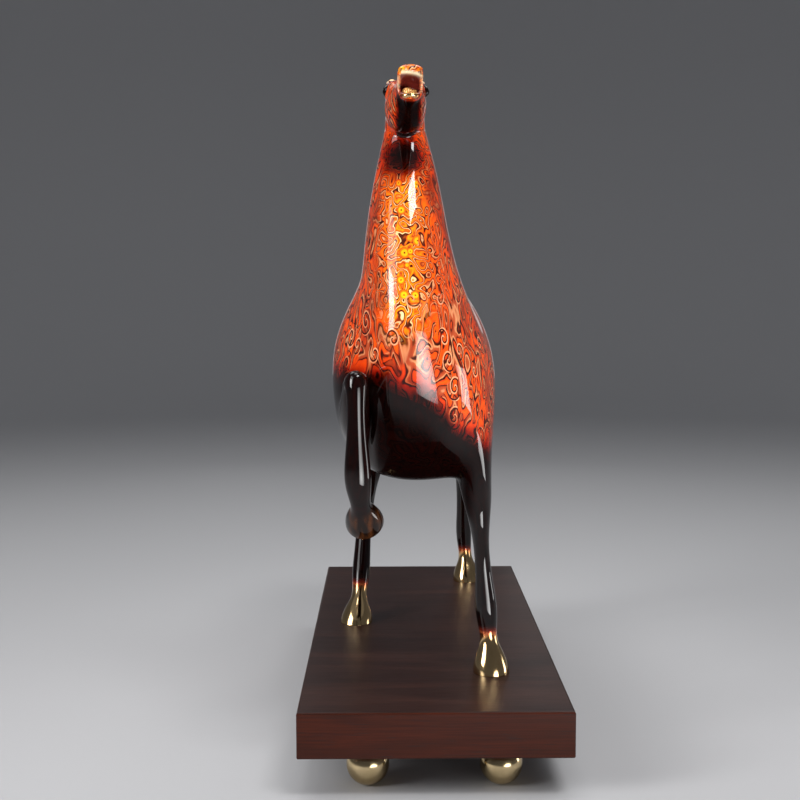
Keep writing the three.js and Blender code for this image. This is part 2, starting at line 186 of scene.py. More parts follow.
softbox("high_front_softbox", 33, 57, distance=1.1, width=0.42, height=0.2, glow=16)
softbox("low_front_softbox", 31, -14, distance=0.37, width=0.25, height=0.29, glow=1.6, spread=55)
softbox("left_softbox", 101, -9, distance=0.9, width=0.2, height=0.34, glow=0.8, spread=60)
softbox("right_softbox", -64, 15, distance=0.9, width=0.26, height=0.36, glow=2.2, spread=60)
softbox("right_fill", -62, 28, distance=1.3, width=0.7, height=0.7, glow=3.3)
softbox("top_softbox", 0, 88, distance=1.4, width=0.7, height=0.7, glow=3)
softbox("back_left_softbox", 140, 50, distance=1.3, width=0.6, height=0.6, glow=1.8)
softbox("back_right_softbox", -140, 50, distance=1.3, width=0.6, height=0.6, glow=1.8)
softbox("left_edge_strip", 169, 9, distance=1.3, width=0.14, height=0.6, glow=0.3)
softbox("right_edge_strip", -169, 9, distance=1.3, width=0.14, height=0.6, glow=0.3)
print("lights", len(bpy.data.lights))

# %% [markdown]
# Some light also comes from all round, off the walls of a room. A faint bluish world stands for it.
# Blender's usual view would soften the strong orange of the lacquer, so the plain standard view is used.

# %% The room
world = bpy.data.worlds.new("studio")
world.use_nodes = True
room_light = world.node_tree.nodes["Background"]
room_light.inputs["Color"].default_value = (0.9, 0.93, 1, 1)
room_light.inputs["Strength"].default_value = 0.2
bpy.context.scene.world = world
bpy.context.scene.view_settings.view_transform = "Standard"
print("the room's light has strength", round(room_light.inputs["Strength"].default_value, 2))

# %% [markdown]
# The horse's solid is a net of flat faces. The real one is polished smooth, so a copy of the net is made
# round. Smooth shading alone would leave a cornered outline. The copy's triangles pair up into four-sided
# faces when each face's diagonal is dissolved, and a Subdivision Surface then rounds them. The soles are
# creased, so that the hooves still stand flat.

# %% A smooth copy of the casting
rounding_levels = 2
sole_crease = 0.7

net = bmesh.new()
net.from_mesh(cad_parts["horse"].data)
bmesh.ops.remove_doubles(net, verts=net.verts[:], dist=1e-6)
diagonals = [edge for edge in net.edges if all(len(end.link_edges) > 4 for end in edge.verts)]
bmesh.ops.dissolve_edges(net, edges=diagonals, use_verts=False, use_face_split=False)
crease = net.edges.layers.float.new("crease_edge")
for edge in net.edges:
    on_sole = all(abs(end.co.z - plinth_top) < 1e-5 for end in edge.verts)
    flat_sides = sum(abs(face.normal.z) > 0.99 for face in edge.link_faces)
    if on_sole and flat_sides == 1:
        edge[crease] = sole_crease
for face in net.faces:
    face.smooth = True
casting = object_of(net, "lacquered_horse")
rounding = casting.modifiers.new("rounding", "SUBSURF")
rounding.levels = rounding_levels
rounding.render_levels = rounding_levels
depsgraph = bpy.context.evaluated_depsgraph_get()
rounded_mesh = bpy.data.meshes.new_from_object(casting.evaluated_get(depsgraph))
casting.modifiers.clear()
casting.data = rounded_mesh
print("four-sided faces", len(rounded_mesh.polygons))

# %% [markdown]
# The head is small and carries the finest modelling, so its faces are divided once more before the eyes,
# the nostrils and the mouth are worked into them. Dividing the whole horse would waste its faces on the
# belly.

# %% Finer faces on the head
head_height = 322
head_front = -110
net = bmesh.new()
net.from_mesh(casting.data)
head_low = place(0, 0, head_height).z
head_back = head_front * MM
head_faces = [face for face in net.faces
              if all(corner.co.z > head_low and corner.co.y < head_back for corner in face.verts)]
head_edges = {edge for face in head_faces for edge in face.edges}
divided = bmesh.ops.subdivide_edges(net, edges=list(head_edges), cuts=1, use_grid_fill=True)
new_corners = [part for part in divided["geom_inner"] if isinstance(part, bmesh.types.BMVert)]
bmesh.ops.smooth_vert(net, verts=new_corners, factor=0.5, use_axis_x=True, use_axis_y=True, use_axis_z=True)
net.to_mesh(casting.data)
net.free()
casting.data.shade_smooth()
print("faces with the finer head", len(casting.data.polygons))

# %% [markdown]
# The fine modelling moves the surface by tenths of a millimetre, as a chaser's tools would: out along the
# normal for a ridge, in for a groove. A sculpting brush could do it by hand, but a formula of the distance
# from a named point gives the same result each time, and alike on both sides of the head.

# %% Tools for the fine modelling
def surface():
    """The casting's points in millimetres above the plinth's top, and their normals."""
    mesh = casting.data
    points = np.empty(len(mesh.vertices) * 3)
    mesh.vertices.foreach_get("co", points)
    points = points.reshape(-1, 3) / MM
    points[:, 2] -= plinth_top / MM
    normals = np.empty(len(mesh.vertices) * 3)
    mesh.vertex_normals.foreach_get("vector", normals)
    return points, normals.reshape(-1, 3)


def keep(points):
    """Writes the points back to the casting."""
    moved = points.copy()
    moved[:, 2] += plinth_top / MM
    casting.data.vertices.foreach_set("co", (moved * MM).ravel())
    casting.data.update()


def bell(distance, reach):
    return np.exp(-(distance / reach) ** 2)


def ease(value, start, end):
    """0 before start, 1 after end, and a smooth step between."""
    t = np.clip((value - start) / (end - start), 0, 1)
    return t * t * (3 - 2 * t)


def distance_to_line(points, start, end):
    """How far each point is from the stretch between start and end, and how far along it is."""
    start, end = np.array(start, float), np.array(end, float)
    run = end - start
    along = np.clip((points - start) @ run / (run @ run), 0, 1)
    return np.linalg.norm(points - start - along[:, None] * run, axis=1), along


print("the casting has", len(surface()[0]), "points to work on")

# %% [markdown]
# A horse's eye is a ball in the side of its head under a heavy lid. Points inside the ball are pushed out
# to its surface, which gives a true round eye. An almond ridge round it makes the lids, with a fold above
# them and the brow over that.

# %% Eyes
head_middle = -14.9
eye_side = 9.3
eye_back = -118.3
eye_height = 335.3
eye_radius = 3.8


def eye_place(side):
    """The middle of an eye's ball; side is 1 on the horse's left and -1 on its right."""
    return np.array((head_middle + side * eye_side, eye_back, eye_height))


def shape_eye(points, normals, side):
    """Moves the points into an eye's ball, lids, fold and brow."""
    away = points - eye_place(side)
    far = np.linalg.norm(away, axis=1)
    inside = far < eye_radius
    points[inside] = eye_place(side) + away[inside] * (eye_radius / far[inside])[:, None]
    outer = ease(side * (points[:, 0] - head_middle), 5, 8)
    slant = away[:, 2] + 0.25 * away[:, 1]
    almond = np.sqrt((0.72 * away[:, 1]) ** 2 + (1.12 * slant) ** 2)
    above = ease(slant, -2.5, 1.5)
    lids = (0.35 + 0.75 * above) * bell(almond - 3.7, 0.75)
    brow = 0.7 * bell(almond - 6.2, 1.6) * ease(slant, 1, 4)
    fold = -0.5 * bell(almond - 5.3, 0.7) * above
    points += normals * ((lids + brow + fold) * outer)[:, None]


print("eyes reach from", round(head_middle - eye_side - eye_radius, 1), "to",
      round(head_middle + eye_side + eye_radius, 1))

# %% [markdown]
# The nostrils are deep commas with a flared wing. The distance from a nostril's middle counts less along
# its slant than across it, so the dent comes out long, and the wing is a ridge round its upper end.

# %% Nostrils
muzzle_middle = -13.2
nostril_side = 5.6
nostril_depth = 1.8


def shape_nostril(points, normals, side):
    """Moves the points into a nostril and its wing."""
    x, y, height = (points - (muzzle_middle + side * nostril_side, -160, 338.6)).T
    comma = np.sqrt((0.75 * y + 0.3 * height) ** 2 + (1.25 * height) ** 2 + (0.5 * x) ** 2)
    wing = 0.45 * bell(comma - 2.5, 0.7) * ease(height - y, -1, 2)
    outer = ease(side * (points[:, 0] - muzzle_middle), 2, 4)
    points += normals * ((wing - nostril_depth * bell(comma, 1.35)) * outer)[:, None]


print("nostrils are", nostril_depth, "mm deep")

# %% [markdown]
# Under the eye the cheekbone runs toward the mouth, behind it sits the round muscle of the jaw, and a
# shallow dent lies between the nose and the cheekbone. Each is a soft ridge or groove along a line or round
# a point. The whole head is then worked on one side and on the other, with the same numbers.

# %% Cheeks, and both sides of the head
def shape_cheek(points, normals, side):
    """Moves the points into a cheekbone, a jaw muscle and the dent above them."""
    bone_start = (head_middle + side * 10, -122, 328)
    bone_end = (muzzle_middle + side * 7, -146, 332)
    far, along = distance_to_line(points, bone_start, bone_end)
    points += normals * (0.55 * bell(far, 1.7) * (1 - 0.7 * along))[:, None]
    far = np.linalg.norm(points - (head_middle + side * 10.5, -109, 323.5), axis=1)
    points += normals * (0.55 * (1 - ease(far, 7.5, 10.5)) - 0.25 * bell(far - 10.8, 1))[:, None]
    dent_start = (head_middle + side * 6.5, -128, 339)
    dent_end = (muzzle_middle + side * 6, -150, 338)
    far, _ = distance_to_line(points, dent_start, dent_end)
    points += normals * (-0.35 * bell(far, 1.9))[:, None]


points, normals = surface()
smooth_points = points.copy()
for side in (-1, 1):
    shape_eye(points, normals, side)
    shape_nostril(points, normals, side)
    shape_cheek(points, normals, side)
keep(points)
print("points on the head were moved by up to", round(float(np.abs(points - smooth_points).max()), 2), "mm")

# %% [markdown]
# The mane lies back along the crest of the neck in combed locks, and the tail falls in strands. Both are
# grooves in the casting. Waves along a slanted direction make the mane's locks, and waves round the tail's
# own middle line make its strands.

# %% Mane and tail
mane_top = (-15.3, -90, 343)
mane_foot = (-8.5, -44, 236)
mane_length = 115
lock_width = 5.2
lock_depth = 0.55
tail_line = [(-6, 103, 207), (-6, 121, 203), (-6, 135, 186), (-6, 143, 155), (-6, 147, 124), (-6, 148, 100)]
strand_count = 11
strand_depth = 0.4

points, normals = surface()
far, along = distance_to_line(points, mane_top, mane_foot)
beside = np.abs(points[:, 0] - (mane_top[0] + (mane_foot[0] - mane_top[0]) * along))
on_mane = ease(normals[:, 1] + 0.4 * normals[:, 2], 0.1, 0.5) * ease(-beside, -12, -5)
on_mane *= ease(along, 0.02, 0.1) * (1 - ease(along, 0.9, 1)) * ease(-far, -20, -12)
locks = np.sin(2 * np.pi * (along * mane_length + beside * 1.1) / lock_width)
points += normals * (lock_depth * on_mane * locks)[:, None]

nearest = np.full(len(points), 1e9)
strands = np.zeros(len(points))
for start, end in zip(tail_line, tail_line[1:]):
    start, end = np.array(start, float), np.array(end, float)
    run = (end - start) / np.linalg.norm(end - start)
    outward = np.cross((1, 0, 0), run)
    far, along = distance_to_line(points, start, end)
    away = points - start - along[:, None] * (end - start)
    angle = np.arctan2(away[:, 0], away @ outward)
    closer = far < nearest
    nearest[closer] = far[closer]
    strands[closer] = np.cos(strand_count * angle[closer] + 0.05 * points[closer, 2])
on_tail = ease(points[:, 1], 112, 124) * ease(-nearest, -24, -20)
points += normals * (strand_depth * on_tail * strands)[:, None]
keep(points)
print("points in the mane", int((on_mane > 0.5).sum()), "and in the tail", int((on_tail > 0.5).sum()))

# %% [markdown]
# The open mouth shows a tongue and a short row of lower teeth. They are cast with the head, so they are
# joined to its mesh, and each is sunk a little into the gums. A ball drawn out long makes the tongue, and
# bevelled cubes set along an arc make the teeth.

# %% Tongue and teeth
tongue_size = (3.1, 6.5, 1.9)
tongue_tilt = math.radians(-6)
tooth_count = 6
tooth_size = (1.05, 0.9, 2.0)
tooth_arc = 4.2
tooth_turn = math.radians(16)
tooth_front = -159.3
tooth_height = 328.7


def add_tongue(net):
    """A ball drawn out to the tongue's half sizes, with its tip a little raised."""
    made = bmesh.ops.create_uvsphere(net, u_segments=20, v_segments=12, radius=1 * MM)
    bmesh.ops.scale(net, vec=tongue_size, verts=made["verts"])
    bmesh.ops.rotate(net, matrix=Matrix.Rotation(tongue_tilt, 3, "X"), verts=made["verts"])
    bmesh.ops.translate(net, vec=place(muzzle_middle - 1.3, -153.5, 329.4), verts=made["verts"])


def add_tooth(net, turn):
    """A bevelled cube on the arc of the teeth, turned that far from its middle."""
    made = bmesh.ops.create_cube(net, size=1 * MM)
    bmesh.ops.scale(net, vec=tooth_size, verts=made["verts"])
    cube_edges = [edge for edge in net.edges if edge.verts[0] in made["verts"]]
    rounded = bmesh.ops.bevel(net, geom=cube_edges, offset=0.25 * MM, offset_type="OFFSET", segments=2,
                              profile=0.5, affect="EDGES", material=-1, clamp_overlap=True)
    tooth = list({corner for face in rounded["faces"] for corner in face.verts})
    bmesh.ops.rotate(net, matrix=Matrix.Rotation(turn, 3, "Z"), verts=tooth)
    back = tooth_front + tooth_arc * (1 - math.cos(turn))
    where = place(muzzle_middle + tooth_arc * math.sin(turn), back, tooth_height)
    bmesh.ops.translate(net, vec=where, verts=tooth)


mouth_parts = bmesh.new()
add_tongue(mouth_parts)
for k in range(tooth_count):
    add_tooth(mouth_parts, (k - (tooth_count - 1) / 2) * tooth_turn)
for face in mouth_parts.faces:
    face.smooth = True
mouth_mesh = bpy.data.meshes.new("mouth_parts")
mouth_parts.to_mesh(mouth_mesh)
mouth_parts.free()
casting_corners = len(casting.data.vertices)
net = bmesh.new()
net.from_mesh(casting.data)
net.from_mesh(mouth_mesh)
net.to_mesh(casting.data)
net.free()
bpy.data.meshes.remove(mouth_mesh)
casting.data.update()
print("points added in the mouth", len(casting.data.vertices) - casting_corners)

# %% [markdown]
# The lacquer changes from place to place: mottled orange above, black on the legs and the belly, bare gold
# on the hooves, the lips and the ears. Painting an image would do it, but numbers stored on the points
# follow the surface as well and need no picture. Each finish gets one attribute, from 0 to 1, worked out
# from the place. The points of the tongue and the teeth come last in the mesh, which is how they get
# theirs.

# %% Storing a finish
points, normals = surface()
in_mouth = np.arange(len(points)) >= casting_corners


def store(name, values):
    """Keeps a finish on the casting's points, as an attribute of that name."""
    attribute = casting.data.attributes.new(name, "FLOAT", "POINT")
    attribute.data.foreach_set("value", values.astype(np.float32))
    print(name, "covers", round(float(values.mean()), 3), "of the points")


store("ivory", in_mouth.astype(float))

# %% [markdown]
# The black lies below a slanting line on the chest and a wavy one along the flanks, on the raised leg and
# on the balls of the eyes. Under the jaw, where the faces look down, and in the throat below it, the black
# is painted shade. A line given by a few points across the chest is enough, because numpy fills in between
# them, and a leg is all that lies near the line down its middle.

# %% Where the black lies
raised_leg = [(-44, -129, 156), (-42.4, -156, 178), (-42, -157.5, 121), (-40.2, -152, 107),
              (-38.5, -140, 97)]
raised_leg_reach = [13.5, 12, 12.5, 14]
chest_fade = [(-30, 182), (-17, 177), (-4, 171), (4, 162), (10, 155), (24, 146), (34, 134)]


def near_raised_leg(points):
    shade = np.zeros(len(points))
    for start, end, reach in zip(raised_leg, raised_leg[1:], raised_leg_reach):
        far, _ = distance_to_line(points, start, end)
        shade = np.maximum(shade, 1 - ease(far, reach - 2.5, reach + 2))
    return shade


def chest_line(x):
    """The height where orange turns black on the chest."""
    across, levels = zip(*chest_fade)
    return np.interp(x, across, levels)


def painted_shade_under_jaw(points, normals):
    """Painted shade, in black: the underside of the jaw and the throat below it."""
    x, y, height = points.T
    middle = 1 - ease(np.abs(x + 14), 4.5, 8.5)
    under = ease(-normals[:, 2], 0.0, 0.35) * ease(height, 303, 309)
    under = under * ease(-y, 96, 104) * (1 - ease(-y, 152, 158))
    # painted shade in the throat, under the head
    throat = bell(np.linalg.norm((points - (-17, -124, 300)) * (0.62, 0.5, 0.8), axis=1), 10)
    return np.clip(np.maximum(under * middle, throat), 0, 1)


def lower_body(points):
    """Below the line on the chest, which turns into a wavy one along the flanks."""
    x, y, height = points.T
    flank_line = 141 - 0.05 * (y + 60) + 5 * np.sin(y / 17) + 3 * np.sin(y / 7 + x / 9)
    line = chest_line(x) + (flank_line - chest_line(x)) * ease(y, -105, -50)
    return 1 - ease(height - line, -15, 13)


def eye_balls(points):
    shade = np.zeros(len(points))
    for side in (-1, 1):
        far = np.linalg.norm(points - eye_place(side), axis=1)
        shade = np.maximum(shade, 1 - ease(far, eye_radius + 0.1, eye_radius + 0.6))
    return shade


soot = np.maximum(lower_body(points), near_raised_leg(points))
# painted shade under the jaw is stored with the black lacquer
soot = np.maximum(soot, 0.97 * painted_shade_under_jaw(points, normals))
store("soot", np.maximum(soot, eye_balls(points)))

# %% [markdown]
# The clear coat is thinned under the jaw, and under the chest between the legs, as painted shade. There
# the black stays deep, because it hardly mirrors the pale floor.

# %% Where the clear coat is thinned for painted shade
def thin_coat(points, normals):
    x, y, height = points.T
    under = ease(-normals[:, 2], 0.1, 0.4) * ease(height, 311, 315) * ease(-y, 112, 120)
    jaw = under * (1 - ease(np.abs(x + 14), 7, 9.5)) * (1 - ease(-y, 152, 158))
    below = 1 - ease(height - chest_line(x), -30, -12)
    between = (1 - ease(np.abs(x + 5), 25, 32)) * ease(height, 85, 95)
    return np.maximum(jaw, below * between * (1 - near_raised_leg(points)))


store("thin", thin_coat(points, normals))

# %% [markdown]
# Polished metal shows on the standing hooves, the lower lip and the rims of the ears, and the raised hoof
# is a darker bronze. The ears lean back, so what belongs to an ear is told by how far up its own middle
# line a point lies, and how far out from it.

# %% Where the metal shows
def ear_places(points, side):
    """How far each point is up an ear, and how far out from the ear's own middle line."""
    root = np.array((head_middle + side * 7.4, -98, 339.4))
    along = np.array((side * 0.06, 0.35, 0.93))
    along /= np.linalg.norm(along)
    up = (points - root) @ along
    out = np.linalg.norm(points - root - up[:, None] * along, axis=1)
    return up, out


def gilt_finish(points):
    """Polished gold: the standing hooves, the lower lip and the rims of the ears."""
    _, y, height = points.T
    hooves = 1 - ease(height, 17, 30)
    lip = 0.85 * ease(-y, 156, 159.5) * ease(height, 318, 322) * (1 - ease(height, 331, 333))
    rims = np.zeros(len(points))
    for side in (-1, 1):
        up, out = ear_places(points, side)
        rims = np.maximum(rims, ease(up, 2.5, 5) * (1 - ease(out, 5.5, 6.5)))
    return np.clip(np.maximum(hooves, np.maximum(lip, 0.9 * rims)), 0, 1)


def bronze_finish(points):
    """The raised hoof, past the pastern."""
    pastern, toe = np.array(raised_leg[3]), np.array(raised_leg[4])
    far, _ = distance_to_line(points, pastern, toe)
    past = (points - pastern) @ (toe - pastern) / 250
    return ease(past, -0.1, 0.4) * (1 - ease(far, 15, 18))


store("gilt", np.where(in_mouth, 0, gilt_finish(points)))
store("bronze", bronze_finish(points))

# %% [markdown]
# The inside of the mouth and of the ears is dark red. A painted cream highlight follows the edge of the
# upper lip, a little lower on the horse's left, and runs down the corners of the mouth.

# %% Lips and mouth
def lip_highlight_finish(points):
    x, y, height = points.T
    # painted highlight along the upper lip's lower edge
    edge = bell(height - 337.5 + 0.12 * (x - muzzle_middle), 0.8) * ease(-y, 158, 161)
    corner = bell(np.abs(x - muzzle_middle) - 6.6, 1.0) * ease(height, 328, 331)
    corner = corner * (1 - ease(height, 336, 338)) * ease(-y, 150, 156)
    return np.clip(edge + 0.4 * corner, 0, 1)


def mouth_finish(points):
    x, y, height = points.T
    inside = (1 - ease(np.abs(x - muzzle_middle), 4.6, 5.6)) * ease(-y, 140, 148)
    inside = inside * (1 - ease(-y, 164.5, 166.5))
    inside = inside * ease(height, 327.2, 328.6) * (1 - ease(height, 336.6, 338.2))
    for side in (-1, 1):
        up, out = ear_places(points, side)
        hollow = ease(up, 1.2, 2.2) * (1 - ease(up, 6.5, 7.5)) * (1 - ease(out, 1.9, 2.7))
        inside = np.maximum(inside, hollow)
    return inside


store("lip", lip_highlight_finish(points))
store("mouth", np.where(in_mouth, 0, mouth_finish(points)))

# %% [markdown]
# The mottling isn't the same all over. Down the front of the neck and on the nose it turns to amber and
# yellow. On the front of the neck this is partly the lacquer's own colour and partly painted light, made
# strongest where the surface faces the front lamps. The amber along the top of the back is painted light
# from above. On the neck and the head its rings are small and round.

# %% Where the mottling changes
def amber_finish(points, normals):
    x, y, height = points.T
    # partly painted light: more amber where the neck faces the front lamps
    front = bell(x + 16.5, 10) * ease(-normals[:, 1], 0.35, 0.8)
    front = front * ease(height, 192, 214) * (1 - ease(height, 289, 299))
    nose = 0.7 * ease(-y, 146, 158) * ease(height, 329, 333)
    # painted light: upward faces along the back turn amber, as if lit from above
    back = 0.45 * ease(normals[:, 2], 0.55, 0.95) * ease(y, -70, -20) * bell(x + 8, 24)
    return np.maximum(np.maximum(front, nose), back)


store("amber", amber_finish(points, normals))
store("neck", ease(-normals[:, 1], 0.4, 0.7) * ease(points[:, 2], 205, 230))

# %% [markdown]
# Loose curls are drawn flat, like a sheet wrapped round the horse. So each point also gets its way round:
# the distance sideways from the middle of the chest, and then back along the flank. The sheet would be
# drawn out on the slanting corners of the rump, so the curls keep off them, as they do off the top.

# %% The way round the horse
chest_profile = [(100, -118), (126, -131), (157, -147), (182, -152), (206, -152), (225, -146), (246, -139),
                 (270, -133), (293, -122), (312, -112)]


def way_round(points):
    """How far round a point lies from the middle of the chest, in metres, left side positive."""
    x, y, height = points.T
    heights, fronts = zip(*chest_profile)
    behind = np.maximum(y - np.interp(height, heights, fronts), 0)
    across = x - (-15 + 3 * ease(-height, -230, -190))
    return np.sign(across) * (np.abs(across) + behind) * MM


def curl_finish(points, normals):
    """Where loose curls may lie: the chest, the sides and the haunches."""
    x, y, height = points.T
    upright = 1 - ease(np.abs(normals[:, 2]), 0.45, 0.6)
    level = np.hypot(normals[:, 0], normals[:, 1]) + 1e-6
    evenness = np.abs(normals[:, 1] - np.sign(x + 15) * normals[:, 0]) / level
    even = np.where(y > -100, ease(evenness, 0.55, 0.75), 1)
    return upright * even * (1 - ease(height, 212, 232)) * ease(height, 130, 150)


store("around", way_round(points))
store("curl", curl_finish(points, normals))

# %% [markdown]
# Materials are made of nodes, and most of them need the same few steps. A helper for each step adds its
# node and joins a value or a socket to its inputs, so that the finishes below read as recipes. The first
# helpers are for places, numbers and noises.

# %% Numbers and patterns in a material
class Pattern:
    """A material whose nodes are added one by one, with steps for numbers and patterns."""

    def __init__(self, name):
        self.material = bpy.data.materials.new(name)
        self.material.use_nodes = True
        self.tree = self.material.node_tree
        self.shader = self.tree.nodes["Principled BSDF"]
        self.coordinates = self.tree.nodes.new("ShaderNodeTexCoord").outputs["Object"]

    def feed(self, socket, value):
        """Joins a socket to an input, or sets a plain value on it."""
        if isinstance(value, bpy.types.NodeSocket):
            self.tree.links.new(value, socket)
        else:
            socket.default_value = value

    def give(self, name, value):
        """Feeds an input of the finish itself, by its name."""
        self.feed(self.shader.inputs[name], value)

    def node(self, kind, **inputs):
        """Adds a node and feeds its inputs by their names."""
        made = self.tree.nodes.new("ShaderNode" + kind)
        for name, value in inputs.items():
            self.feed(made.inputs[name], value)
        return made

    def attribute(self, name):
        reader = self.node("Attribute")
        reader.attribute_name = name
        return reader.outputs["Fac"]

    def maths(self, operation, *values, clamp=False):
        """One step of arithmetic on up to three sockets or plain values."""
        step = self.node("Math")
        step.operation = operation
        step.use_clamp = clamp
        for socket, value in zip(step.inputs, values):
            self.feed(socket, value)
        return step.outputs[0]

    def vector_maths(self, operation, *values):
        step = self.node("VectorMath")
        step.operation = operation
        for socket, value in zip(step.inputs, values):
            self.feed(socket, value)
        return step.outputs["Value" if operation == "LENGTH" else "Vector"]

    def parts(self, vector):
        """The X, Y and Z of a vector, by name."""
        return self.node("SeparateXYZ", Vector=vector).outputs

    def stretched(self, scale, offset=(0, 0, 0)):
        """The object's coordinates, scaled along each axis."""
        mapping = self.node("Mapping", Vector=self.coordinates, Location=offset, Scale=scale)
        return mapping.outputs["Vector"]

    def noise(self, vector, scale, detail=2.0, roughness=0.5, distortion=0.0, colour=False):
        texture = self.node("TexNoise", Vector=vector, Scale=scale, Detail=detail, Roughness=roughness,
                            Distortion=distortion)
        return texture.outputs["Color" if colour else "Fac"]

    def warped(self, vector, scale, amount):
        """Coordinates pushed about by a noise, so that patterns swirl."""
        push = self.noise(vector, scale, colour=True)
        return self.vector_maths("MULTIPLY_ADD", push, (amount, amount, amount), vector)


print("steps for patterns:", [step for step in vars(Pattern) if not step.startswith("_")])

# %% [markdown]
# The other helpers lay colours and relief. A ramp turns a number into a colour, and a mix lays one colour
# over another by a share. Bumps come last, because they tilt the highlights without moving the surface.

# %% Colours and relief in a material
BLACK = (0, 0, 0)
WHITE = (1, 1, 1)


class Recipe(Pattern):
    """A pattern with steps for colours and relief as well."""

    def ramp(self, value, stops):
        """A colour for each value, blended between the stops."""
        node = self.node("ValToRGB", Fac=value)
        steps = node.color_ramp.elements
        while len(steps) < len(stops):
            steps.new(0.5)
        for step, (position, colour) in zip(steps, stops):
            step.position = position
            step.color = (*colour, 1)
        return node.outputs["Color"]

    def rise(self, value, start, end):
        """0 up to start, 1 from end on, and straight between."""
        return self.ramp(value, [(start, BLACK), (end, WHITE)])

    def stripe(self, value, start, full, fall, end):
        """1 between full and fall, and 0 before start and after end."""
        return self.ramp(value, [(start, BLACK), (full, WHITE), (fall, WHITE), (end, BLACK)])

    def mix(self, share, first, second, blend="MIX"):
        node = self.node("Mix")
        node.data_type = "RGBA"
        node.blend_type = blend
        self.feed(node.inputs[0], share)
        for socket, value in ((node.inputs[6], first), (node.inputs[7], second)):
            self.feed(socket, value if isinstance(value, bpy.types.NodeSocket) else (*value, 1))
        return node.outputs[2]

    def blend_values(self, share, first, second):
        node = self.node("Mix")
        node.data_type = "FLOAT"
        self.feed(node.inputs[0], share)
        self.feed(node.inputs[2], first)
        self.feed(node.inputs[3], second)
        return node.outputs[0]

    def bump(self, height, strength, distance):
        relief = self.node("Bump", Strength=strength, Distance=distance, Height=height)
        self.give("Normal", relief.outputs["Normal"])


print("steps for colours:", [step for step in vars(Recipe) if not step.startswith("_")])

# %% [markdown]
# The old craft behind this look builds up uneven coats of lacquer in several colours and rubs them flat, so
# that each bump shows as closed rings, like the contour lines of a map. A noise is such a bumpy ground. Its
# height is cut into steps, and a colour ramp gives each step a dark line, a cream line and an orange fill.

# %% Colours of the rings
flame_stops = [
    (0.0, (0.03, 0.005, 0.003)), (0.08, (0.05, 0.008, 0.004)), (0.11, (0.5, 0.16, 0.06)),
    (0.17, (0.62, 0.25, 0.11)), (0.23, (0.42, 0.075, 0.024)), (0.38, (0.32, 0.04, 0.012)),
    (0.43, (0.06, 0.008, 0.004)), (0.47, (0.06, 0.008, 0.004)), (0.51, (0.64, 0.055, 0.006)),
    (0.7, (0.78, 0.085, 0.005)), (0.87, (0.6, 0.042, 0.005)), (0.94, (0.1, 0.01, 0.004)),
    (1.0, (0.04, 0.006, 0.003)),
]
amber_stops = [
    (0.0, (0.04, 0.007, 0.003)), (0.08, (0.09, 0.016, 0.005)), (0.12, (0.85, 0.5, 0.2)),
    (0.19, (0.95, 0.64, 0.32)), (0.25, (0.76, 0.21, 0.024)), (0.37, (0.66, 0.11, 0.008)),
    (0.41, (0.12, 0.018, 0.005)), (0.45, (0.62, 0.08, 0.006)), (0.6, (0.8, 0.17, 0.004)),
    (0.76, (0.88, 0.32, 0.006)), (0.88, (0.72, 0.11, 0.005)), (0.94, (0.12, 0.018, 0.005)),
    (1.0, (0.06, 0.01, 0.003)),
]


def ringed(recipe, stretch, per_metre, rings, offset):
    """The contour steps of a ground with so many bumps per metre, from 0 to 1 within each step."""
    ground = recipe.stretched(stretch, offset)
    swirled = recipe.warped(ground, per_metre * 0.55, 0.8 / per_metre)
    height = recipe.noise(swirled, per_metre, detail=0.6, roughness=0.4, distortion=0.35)
    return recipe.maths("FRACT", recipe.maths("MULTIPLY", height, rings))


print("colours in a ring:", len(flame_stops), "for the flame and", len(amber_stops), "for the amber")

# %% [markdown]
# Over the rings lie loose curls and small targets. Both sit at the points of a Voronoi pattern, which is
# laid out by the way round the horse and the height, so that it lies flat on the surface. Each point is
# moved about by chance, and has random numbers of its own.

# %% Scattered points
unevenness = 0.85


def scattered(recipe, spacing):
    """The nearest scattered point: how far it is, the angle round it, and its random colour."""
    height = recipe.parts(recipe.coordinates)["Z"]
    flat = recipe.node("CombineXYZ", X=recipe.attribute("around"), Y=height).outputs["Vector"]
    points = recipe.node("TexVoronoi", Vector=flat, Scale=1 / spacing, Randomness=unevenness)
    points.voronoi_dimensions = "2D"
    away = recipe.vector_maths("SUBTRACT", flat, points.outputs["Position"])
    sides = recipe.parts(away)
    angle = recipe.maths("ARCTAN2", sides["Y"], sides["X"])
    chance = recipe.node("SeparateColor", Color=points.outputs["Color"])
    return recipe.vector_maths("LENGTH", away), angle, chance.outputs


print("points are moved about by", unevenness, "of their spacing")

# %% [markdown]
# Round such a point, the angle and the distance together wind a spiral line, and the distance alone makes a
# target. A random number turns each curl to the left or to the right, and another leaves some points bare.

# %% Curls and targets
cream_line = (0.72, 0.3, 0.15)
dark_line = (0.045, 0.008, 0.005)
target_stops = [
    (0.0, (0.08, 0.015, 0.004)), (0.12, (0.2, 0.04, 0.004)), (0.22, (0.9, 0.42, 0.008)),
    (0.5, (0.9, 0.4, 0.008)), (0.68, (0.8, 0.15, 0.006)), (0.9, (0.74, 0.12, 0.006)),
    (0.95, (0.2, 0.03, 0.004)), (1.0, (0.2, 0.03, 0.004)),
]


